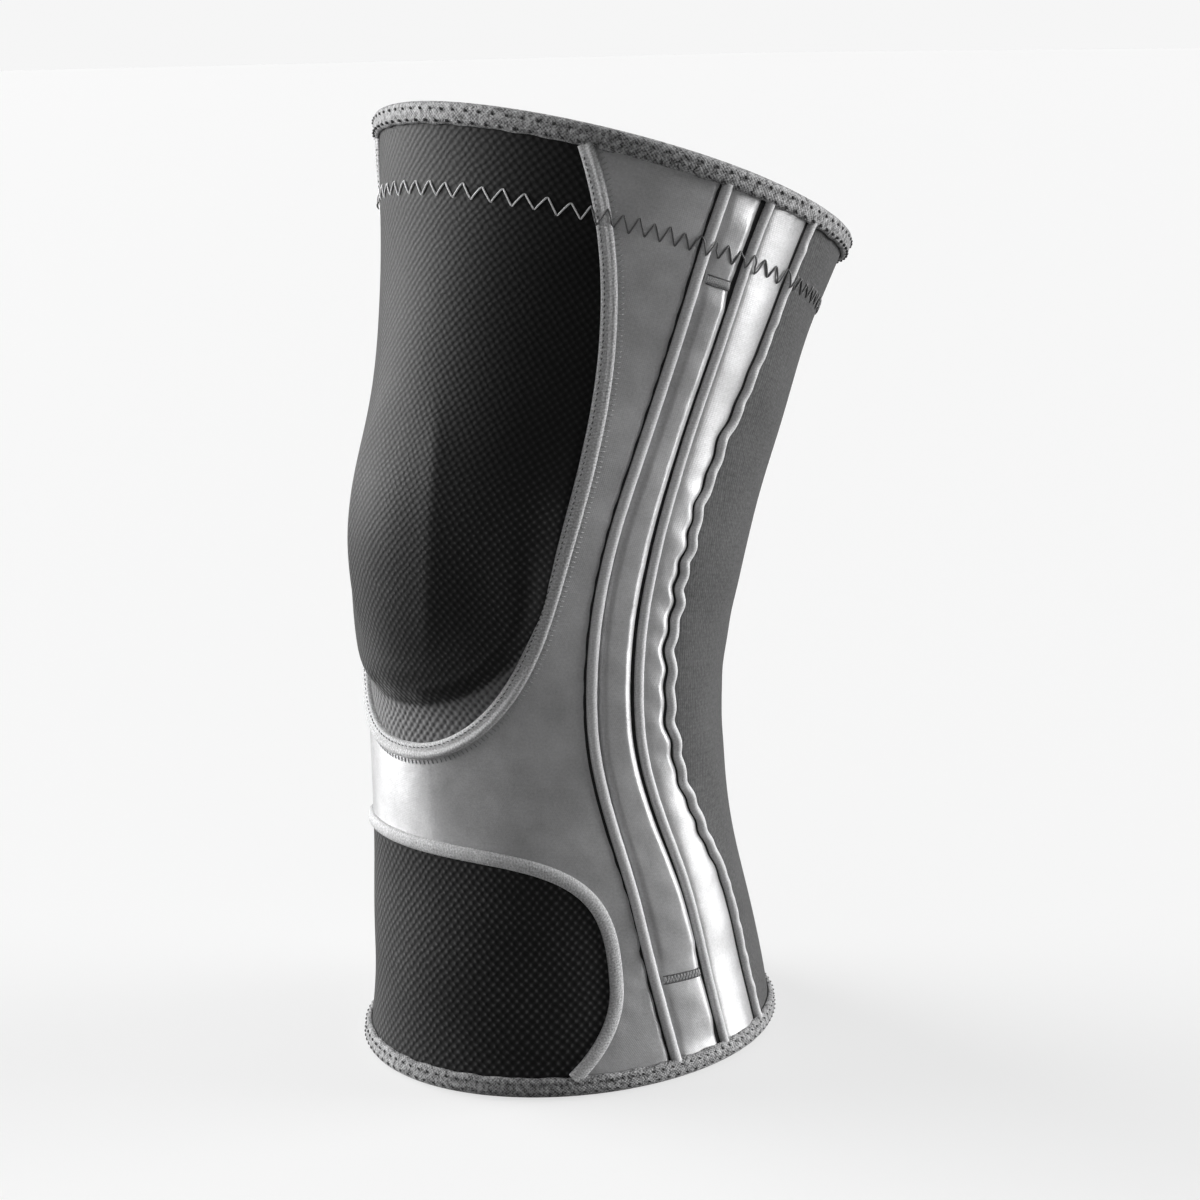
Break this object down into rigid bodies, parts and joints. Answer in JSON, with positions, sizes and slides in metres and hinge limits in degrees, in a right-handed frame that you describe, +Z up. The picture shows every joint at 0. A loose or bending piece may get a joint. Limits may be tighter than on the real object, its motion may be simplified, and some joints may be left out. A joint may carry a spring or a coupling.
{
  "type": "knee brace",
  "caption": "Pull-on knee sleeve with an open kneecap knit window, satin side panels with a strap below the kneecap, piped side seams, sprung side stays and bound rims.",
  "frame": {"origin": "centre of the bounding box at its base: the brace stands on its lower rim", "axes": "+Z up the leg, -Y to the front (kneecap), +X to the wearer's left"},
  "size_m": [0.1514, 0.1683, 0.2972],
  "materials": {
    "front_knit": "matt black honeycomb knit",
    "rear_knit": "smooth dark grey stretch knit",
    "satin": "mid grey warp-knit satin with a soft sheen",
    "tape": "light grey ribbed edge tape",
    "binding": "grey folded elastic binding",
    "lining": "black brushed lining",
    "elastic": "woven elastic",
    "thread": "light polyester thread",
    "dark_thread": "dark polyester thread, dense",
    "gel": "soft moulded gel",
    "steel": "bright spring wire and crimped plate"
  },
  "bodies": {
    "shin": {"bar_tack_lower_left": "dark_thread", "bar_tack_lower_right": "dark_thread", "front_knit_shin": "front_knit", "lining_shin": "lining", "lower_binding": "binding", "shin_window_tape": "tape", "stay_tip_lower_left": "steel", "stay_tip_lower_right": "steel", "lining_knee": "lining", "piping_front_left": "tape", "piping_front_right": "tape", "piping_middle_left": "tape", "piping_middle_right": "tape", "piping_rear_left": "tape", "piping_rear_right": "tape", "rear_knit": "rear_knit", "rear_strip_left": "satin", "rear_strip_right": "satin", "satin_wrap": "satin", "stay_pocket_left": "satin", "stay_pocket_right": "satin", "stay_spring_left": "steel", "stay_spring_right": "steel"},
    "thigh": {"bar_tack_upper_left": "dark_thread", "bar_tack_upper_right": "dark_thread", "elastic_band": "elastic", "lining_thigh": "lining", "stay_tip_upper_left": "steel", "stay_tip_upper_right": "steel", "upper_binding": "binding", "zigzag_stitch": "thread", "front_knit_kneecap": "front_knit", "kneecap_pad": "gel", "kneecap_window_tape": "tape"}
  },
  "joints": [
    {"name": "knee_flex", "type": "hinge", "parent": "shin", "child": "thigh", "pos_m": [0, -0.01512, 0.14769], "axis": [-1, 0, 0], "range_deg": [-15, 75], "stiffness_Nm_per_rad": 0.8, "deforming": ["lining_knee", "piping_front_left", "piping_front_right", "piping_middle_left", "piping_middle_right", "piping_rear_left", "piping_rear_right", "rear_knit", "rear_strip_left", "rear_strip_right", "satin_wrap", "stay_pocket_left", "stay_pocket_right", "stay_spring_left", "stay_spring_right", "front_knit_kneecap", "kneecap_pad", "kneecap_window_tape"]}
  ]
}
